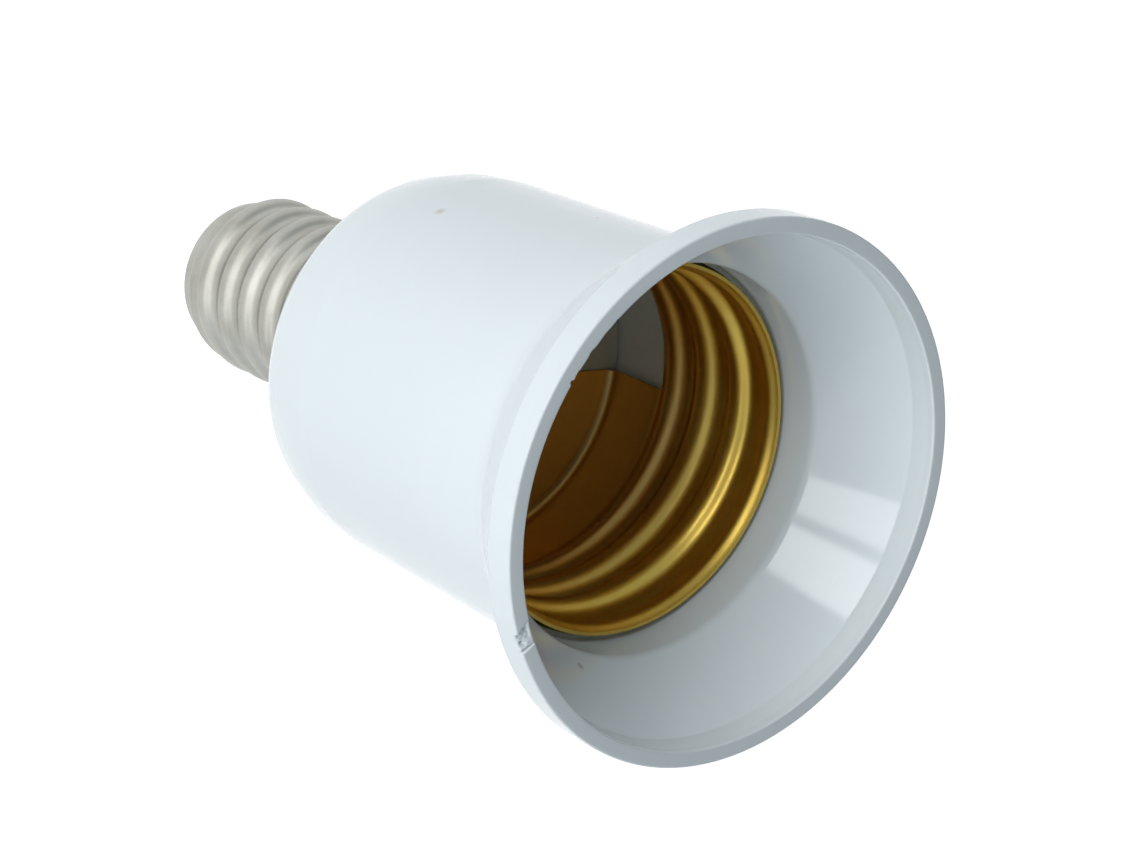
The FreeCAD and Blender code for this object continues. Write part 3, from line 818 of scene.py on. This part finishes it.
def sleeve_plastic():
    """Dark extruded insulation with faint lengthwise lines."""
    finish, tree, shader = new_finish("sleeve_plastic", (0.03, 0.03, 0.035), roughness=0.45)
    place = object_place(tree, (3000, 3000, 80))
    tree.links.new(ramp(tree, noise(tree, place, 1.0), 0.3, 0.7, (0.02, 0.02, 0.025), (0.05, 0.05, 0.055)),
                   shader.inputs["Base Color"])
    tree.links.new(bump(tree, noise(tree, place, 1.0), 0.2, 0.00002), shader.inputs["Normal"])
    return finish


# Painted shade deep in the gold socket: from 46 mm down to 38 mm the gold is painted a darker brown.
GOLD_PAINTED_SHADE = (46.0, 38.0, (0.68, 0.43, 0.15))
GOLD_EDGE = (1.0, 0.84, 0.45, 1.0)

FINISHES = {
    "white_plastic": moulded_white(),
    "carrier_plastic": carrier_white(),
    "gold_metal": rolled_metal("rolled_gold", (0.95, 0.67, 0.15), (0.86, 0.56, 0.11), (0.29, 0.39),
                               GOLD_PAINTED_SHADE, GOLD_EDGE),
    # The nickel is painted darker than real nickel: a painted shade for the dark reflections on the cap.
    "nickel_metal": rolled_metal("rolled_nickel", (0.44, 0.435, 0.4), (0.34, 0.335, 0.295), (0.36, 0.46)),
    "spring_bronze": small_metal("spring_bronze", (0.83, 0.6, 0.34), (0.7, 0.47, 0.25), (0.25, 0.4)),
    "rivet_brass": small_metal("rivet_brass", (0.8, 0.66, 0.38), (0.66, 0.52, 0.28), (0.25, 0.4)),
    "tinned_brass": small_metal("tinned_brass", (0.74, 0.73, 0.7), (0.6, 0.58, 0.52), (0.3, 0.45)),
    "copper": small_metal("bare_copper", (0.86, 0.46, 0.3), (0.66, 0.32, 0.2), (0.25, 0.4)),
    "sleeve_plastic": sleeve_plastic(),
    "solder": small_metal("soft_solder", (0.7, 0.7, 0.71), (0.5, 0.5, 0.5), (0.22, 0.42), 600.0),
    "tip_brass": small_metal("tip_nickel", (0.76, 0.73, 0.66), (0.62, 0.58, 0.48), (0.2, 0.35)),
}
print("finishes:", len(FINISHES))

# %% [markdown]
# ## Pieces on their bodies
# A new piece rides on the body of the solid that it stands for, and that solid is hidden. The small
# solids inside already have all their detail, so they only take a finish.

# %% Ride, replace and paint
DRESSED = {
    "housing": housing_piece,
    "lamp_screw_shell": lamp_shell_piece,
    "base_screw_shell": base_shell_piece,
}
node_slot = {s["node"]: s["material_slot"] for s in frame["record"]["subparts"]}
for node, piece in DRESSED.items():
    piece.data.materials.append(FINISHES[node_slot[node]])
    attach(piece, "adapter")
    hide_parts(node)
for node, solid in frame["nodes"].items():
    if node in DRESSED:
        continue
    if not solid.material_slots:
        solid.data.materials.append(None)
    for holder in solid.material_slots:
        holder.link = "OBJECT"
        holder.material = FINISHES[node_slot[node]]
print("dressed:", len(DRESSED), "painted:", len(frame["nodes"]) - len(DRESSED))

# %% [markdown]
# ## Floor
# The floor is plain and pale. For the camera and in reflections it also glows, so that it is white away
# from the shadow. A brighter lamp would do that too, but it would bleach the object.

# %% Floor
FLOOR_HALF = 2.0
FLOOR_DROP = 0.0002
FLOOR_GLOW = 0.78


def pale_floor():
    """Wide square just under the tip, white for the camera but for the shadow."""
    corners = np.array([(-1, -1, 0), (1, -1, 0), (1, 1, 0), (-1, 1, 0)], float)*FLOOR_HALF
    corners[:, 2] = -FLOOR_DROP
    mesh = bpy.data.meshes.new("floor")
    mesh.from_pydata(corners.tolist(), [], [(0, 1, 2, 3)])
    piece = bpy.data.objects.new("floor", mesh)
    bpy.context.scene.collection.objects.link(piece)
    finish = bpy.data.materials.new("pale_floor")
    finish.use_nodes = True
    tree = finish.node_tree
    shader = tree.nodes["Principled BSDF"]
    shader.inputs["Base Color"].default_value = (0.82, 0.82, 0.82, 1)
    shader.inputs["Roughness"].default_value = 0.9
    shader.inputs["Specular IOR Level"].default_value = 0.0
    glow = add_node(tree, "ShaderNodeEmission", {"Color": (1, 1, 1, 1)})
    path = add_node(tree, "ShaderNodeLightPath")
    seen = add_node(tree, "ShaderNodeMath",
                    {0: path.outputs["Is Camera Ray"], 1: path.outputs["Is Glossy Ray"]},
                    operation="MAXIMUM").outputs["Value"]
    seen = add_node(tree, "ShaderNodeMath", {0: seen, 1: path.outputs["Is Transmission Ray"]},
                    operation="MAXIMUM").outputs["Value"]
    tree.links.new(rescale(tree, seen, 0.0, FLOOR_GLOW), glow.inputs["Strength"])
    both = add_node(tree, "ShaderNodeAddShader", {0: shader.outputs["BSDF"], 1: glow.outputs["Emission"]})
    tree.links.new(both.outputs["Shader"], tree.nodes["Material Output"].inputs["Surface"])
    mesh.materials.append(finish)
    return piece


pale_floor()

# %% [markdown]
# ## Lamps
# The lamps are soft: a long low panel on the camera's side, and two panes of a window whose reflection lies
# on the flare. Each has its azimuth, elevation and distance from the aim, then its width, height and power,
# and the front one is a little warmer.

# %% Lamps
AIM = Vector((0, 0, 0.04))


def panel(name, azimuth, elevation, distance, width, height, power, colour=(1, 1, 1)):
    """Soft rectangular lamp that looks at the object, at an azimuth about Z and an elevation."""
    a = math.radians(azimuth)
    e = math.radians(elevation)
    back = Vector((math.cos(a)*math.cos(e), math.sin(a)*math.cos(e), math.sin(e)))
    lamp = bpy.data.lights.new(name, "AREA")
    lamp.shape = "RECTANGLE"
    lamp.size = width
    lamp.size_y = height
    lamp.energy = power
    lamp.color = colour
    holder = bpy.data.objects.new(name, lamp)
    holder.rotation_euler = back.to_track_quat("Z", "Y").to_euler()
    holder.location = AIM + back*distance
    bpy.context.scene.collection.objects.link(holder)
    return holder


panel("front", 275, 8, 0.9, 2.4, 0.36, 4.5, (1.0, 0.98, 0.955))
panel("window_left", CAMERA_SIDE - 14, 25.5, 0.6, 0.244, 0.126, 0.48)
panel("window_right", CAMERA_SIDE + 14.7, 25.5, 0.6, 0.195, 0.126, 0.295)

# %% [markdown]
# ## Sky
# The sky is bright near the horizon and dull overhead, so the hollow of the socket stays deep. It grows
# brighter towards +X, and it is duller behind on the -X side, which gives the housing its shaded side. A
# smooth sky leaves the gloss to the lamps.

# %% Sky
SKY_LOW = 0.78
SKY_HIGH = 0.08
SKY_FALL = (0.36, 0.92)
SKY_ACROSS = 0.22
DARK_SIDE = 115.0
DARK_SPREAD = (0.05, 0.95)
DARK_SHARE = 0.62


def soft_sky():
    """World that is bright up to a middle height, dull at the zenith, and dark behind on the -X side.

    The dark side is a lobe: it follows the cosine between a direction and the azimuth of that side.
    """
    world = bpy.data.worlds.new("studio")
    bpy.context.scene.world = world
    world.use_nodes = True
    tree = world.node_tree
    way = add_node(tree, "ShaderNodeTexCoord").outputs["Generated"]
    parts = add_node(tree, "ShaderNodeSeparateXYZ", {"Vector": way}).outputs
    fall = add_node(tree, "ShaderNodeMapRange", {"Value": parts["Z"], "From Min": SKY_FALL[0],
                                                 "From Max": SKY_FALL[1], "To Min": SKY_LOW,
                                                 "To Max": SKY_HIGH}, interpolation_type="SMOOTHSTEP")
    level = add_node(tree, "ShaderNodeMath", {0: parts["X"], 1: SKY_ACROSS, 2: fall.outputs["Result"]},
                     operation="MULTIPLY_ADD").outputs["Value"]
    side = math.radians(DARK_SIDE)
    cosine = add_node(tree, "ShaderNodeVectorMath", {0: way, 1: (math.cos(side), math.sin(side), 0)},
                      operation="DOT_PRODUCT").outputs["Value"]
    keep = add_node(tree, "ShaderNodeMapRange", {"Value": cosine, "From Min": DARK_SPREAD[0],
                                                 "From Max": DARK_SPREAD[1], "To Min": 1.0,
                                                 "To Max": 1.0 - DARK_SHARE}, interpolation_type="SMOOTHSTEP")
    level = add_node(tree, "ShaderNodeMath", {0: level, 1: keep.outputs["Result"]},
                     operation="MULTIPLY").outputs["Value"]
    backdrop = tree.nodes["Background"]
    backdrop.inputs["Color"].default_value = (0.945, 1.02, 1.07, 1)
    tree.links.new(level, backdrop.inputs["Strength"])


soft_sky()

# %% [markdown]
# ## Camera
# The camera stands where one fitted to the rim, the gold edge, the outline and the small thread of the
# photograph stands, with the small thread and the gold edge taken at the sizes of their classes. Its place
# follows from a tilt, a roll, a distance and two shifts, so that it can be checked by hand.

# %% Camera
TILT = math.radians(43.063)
ROLL = math.radians(114.441)
DISTANCE = 225.185
SHIFT_RIGHT = 11.186
SHIFT_UP = -4.643
FOCAL_PIXELS = 3387.7
PHOTO_WIDTH = 1140
SENSOR = 36.0


def photo_camera():
    """Camera from its tilt off the screw axis, its roll, and how far the rim's centre lies off its line."""
    back = Vector((0, -math.sin(TILT), math.cos(TILT)))
    level = Vector((1, 0, 0))
    rise = back.cross(level)
    right = level*math.cos(ROLL) + rise*math.sin(ROLL)
    up = rise*math.cos(ROLL) - level*math.sin(ROLL)
    place = Vector((0, 0, TOP)) + back*DISTANCE - right*SHIFT_RIGHT - up*SHIFT_UP
    lens = bpy.data.cameras.new("camera")
    lens.sensor_width = SENSOR
    lens.sensor_fit = "HORIZONTAL"
    lens.lens = FOCAL_PIXELS/PHOTO_WIDTH*SENSOR
    lens.clip_start = 0.01
    lens.clip_end = 20
    holder = bpy.data.objects.new("camera", lens)
    turn = Matrix((right, up, back)).transposed().to_4x4()
    holder.matrix_world = Matrix.Translation(place*MM) @ turn
    bpy.context.scene.collection.objects.link(holder)
    bpy.context.scene.camera = holder
    return holder


photo_camera()
bpy.context.scene.view_settings.view_transform = "Standard"
